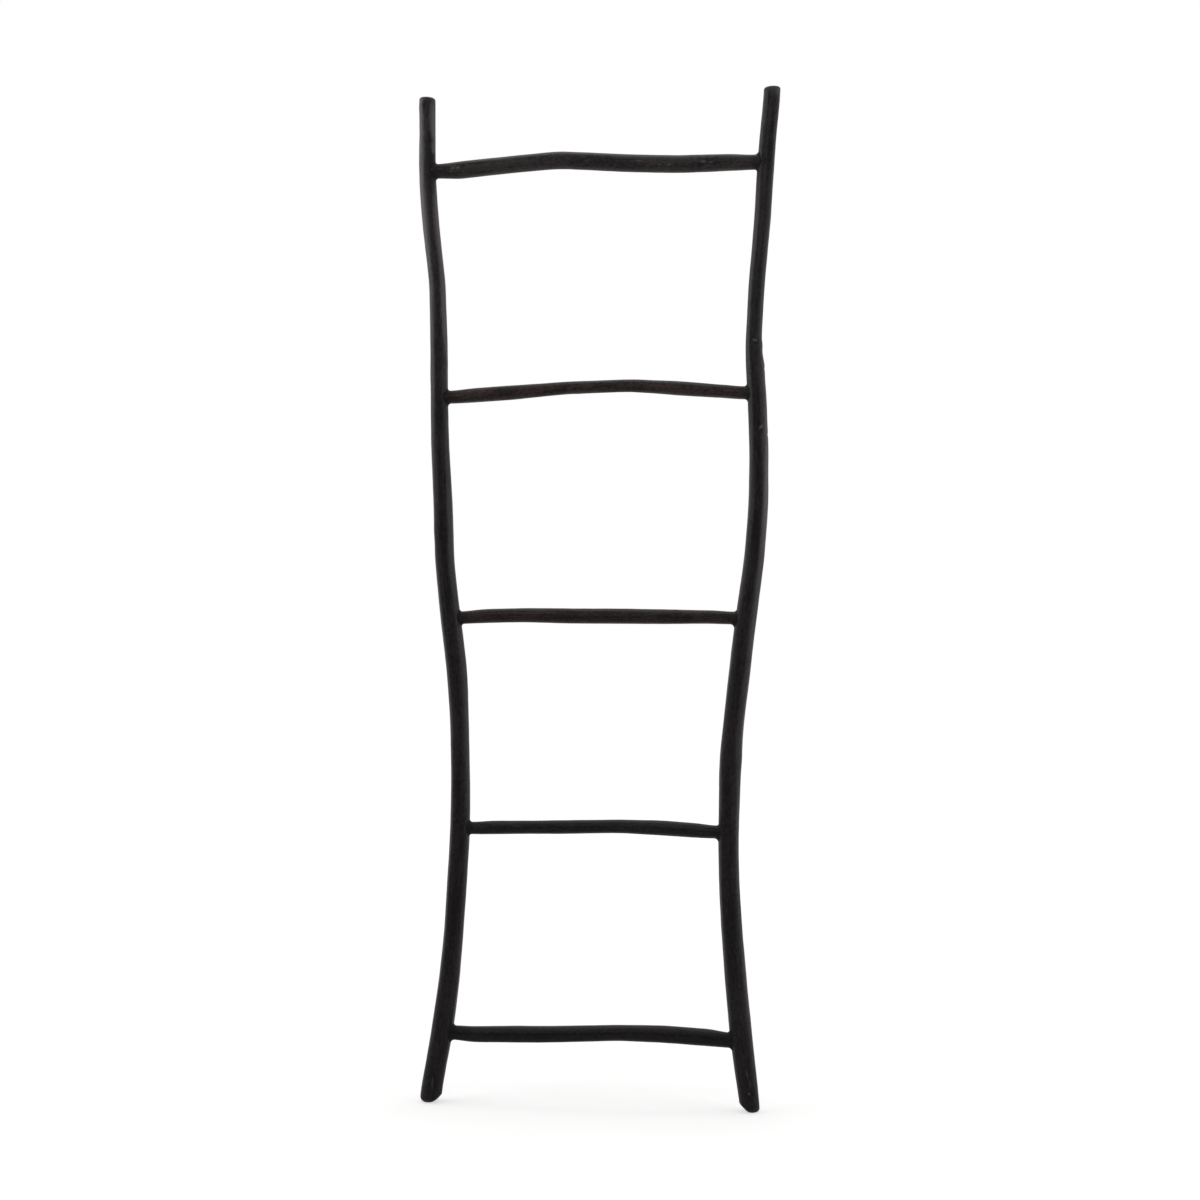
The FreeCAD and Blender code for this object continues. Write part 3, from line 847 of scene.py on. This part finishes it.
rails = {}
for number, side in enumerate(SIDES):
    piece, pole = rail_piece(side, 11 + 7 * number)
    piece.data.materials.append(rail_stain)
    rails[side] = pole
for number, rung in enumerate(RUNG_NAMES):
    piece, branch = rung_piece(rung, 41 + 6 * number)
    rung_stain_and_light = stained_wood(f"{rung}_stain", RUNG_STAINS_AND_LIGHT[rung], RUNG_MATT, 3 + number)
    piece.data.materials.append(rung_stain_and_light)
    for side in SIDES:
        bead = bead_piece(rung, side, rails[side], branch, number + 0.5 * SIDES[side])
        bead.data.materials.append(filler)
        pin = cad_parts[f"{rung}_{side}_pin"]
        pin.data.materials.clear()
        pin.data.materials.append(steel)


# ---- Floor, light and camera -------------------------------------------------------------------

FLOOR_SIDE = 60            # m
FLOOR_COLOUR = (0.5, 0.5, 0.495, 1)
WHITE = (1, 1, 1, 1)
GLOW = 0.55                # of the floor under the ladder, little enough to keep its shadow
GLOW_GAIN = 0.2            # more of it farther off
GLOW_REACH = 3.6           # m, where the gain is full


def pale_floor():
    """A white studio floor: it shows white to the camera and keeps the ladder's soft shadow."""
    finish = Finish(bpy.data.materials.new("pale_floor"))
    camera_ray = finish.ray("Is Camera Ray")
    mirrored = finish.ray("Is Glossy Ray")
    through = finish.ray("Is Transmission Ray")
    place = finish.node("ShaderNodeTexCoord", {}, {}, "Object")
    behind = finish.step(finish.coordinate(place, "Y"), -0.1, 0.5)
    away = finish.node("ShaderNodeVectorMath", {"operation": "LENGTH"}, {0: place}, "Value")
    seen = camera_ray + (mirrored + through) * behind
    matt = finish.node("ShaderNodeBsdfDiffuse", {}, {"Color": FLOOR_COLOUR})
    glow = finish.node("ShaderNodeEmission", {}, {
        "Color": WHITE,
        "Strength": seen * (GLOW + GLOW_GAIN * finish.step(away, 0, GLOW_REACH)),
    })
    return finish.finished(finish.node("ShaderNodeAddShader", {}, {0: matt, 1: glow}))


def white_studio():
    """The room: white behind the ladder, dimmer in front of it and below."""
    finish = Finish(bpy.data.worlds.new("white_studio"))
    bpy.context.scene.world = finish.holder
    camera_ray = finish.ray("Is Camera Ray")
    mirrored = finish.ray("Is Glossy Ray")
    through = finish.ray("Is Transmission Ray")
    direction = finish.node("ShaderNodeTexCoord", {}, {}, "Generated")
    behind = finish.coordinate(direction, "Y")
    above = finish.coordinate(direction, "Z")
    seen = camera_ray + (mirrored + through) * finish.step(behind, -0.05, 0.6)
    room = 0.1 + 0.7 * finish.step(behind, -0.85, 0.35) * finish.step(above, -0.6, 0.45)
    background = finish.node("ShaderNodeBackground", {}, {
        "Color": WHITE,
        "Strength": seen + (1 - seen) * room,
    })
    finish.finished(background, "ShaderNodeOutputWorld")


SOFTBOXES = [
    # name, place, the point that it faces, width and height (m), power (W)
    ("front_softbox", (0.2, -2.7, 2.6), (0, 0, 1.6), 2.6, 1.0, 13),
    ("left_softbox", (-1.8, -0.3, 1.9), (-0.2, 0, 1.4), 1.8, 1.2, 19),
    ("right_softbox", (1.8, -0.3, 1.1), (0.2, 0, 1.0), 1.8, 1.0, 11.5),
    ("top_softbox", (0, 0.3, 3.8), (0, 0, 1.0), 2.0, 1.6, 15),
]


def soft_light(name, place, target, width, height, power):
    """A softbox that faces a point."""
    lamp = bpy.data.lights.new(name, "AREA")
    lamp.shape = "RECTANGLE"
    lamp.size = width
    lamp.size_y = height
    lamp.energy = power
    light = bpy.data.objects.new(name, lamp)
    light.location = place
    aim = Vector(target) - Vector(place)
    light.rotation_euler = aim.to_track_quat("-Z", "Y").to_euler()
    bpy.context.scene.collection.objects.link(light)


bpy.ops.mesh.primitive_plane_add(size=FLOOR_SIDE, location=(0, 0, 0))
floor = bpy.context.object
floor.name = "studio_floor"
floor.data.materials.append(pale_floor())

white_studio()
for softbox in SOFTBOXES:
    soft_light(*softbox)

PHOTO_SIDE = 1200          # pixels
MM_PER_PIXEL = 1.774       # at the ladder's middle
DISTANCE = 3.5             # m, from the ladder's middle to the lens
TURN = math.radians(7.1)   # the camera stands this far round to the right
SENSOR = 36                # mm
middle = Vector((0.004, 0, 0.8988))        # the point of the ladder at the photo's middle

eye = bpy.data.cameras.new("photo_camera")
eye.sensor_width = SENSOR
eye.lens = SENSOR * DISTANCE / (PHOTO_SIDE * MM_PER_PIXEL * MM)
camera = bpy.data.objects.new("photo_camera", eye)
camera.location = middle + DISTANCE * Vector((math.sin(TURN), -math.cos(TURN), 0))
camera.rotation_euler = (math.radians(90), 0, TURN)
bpy.context.scene.collection.objects.link(camera)
bpy.context.scene.camera = camera

bpy.context.scene.view_settings.view_transform = "Standard"
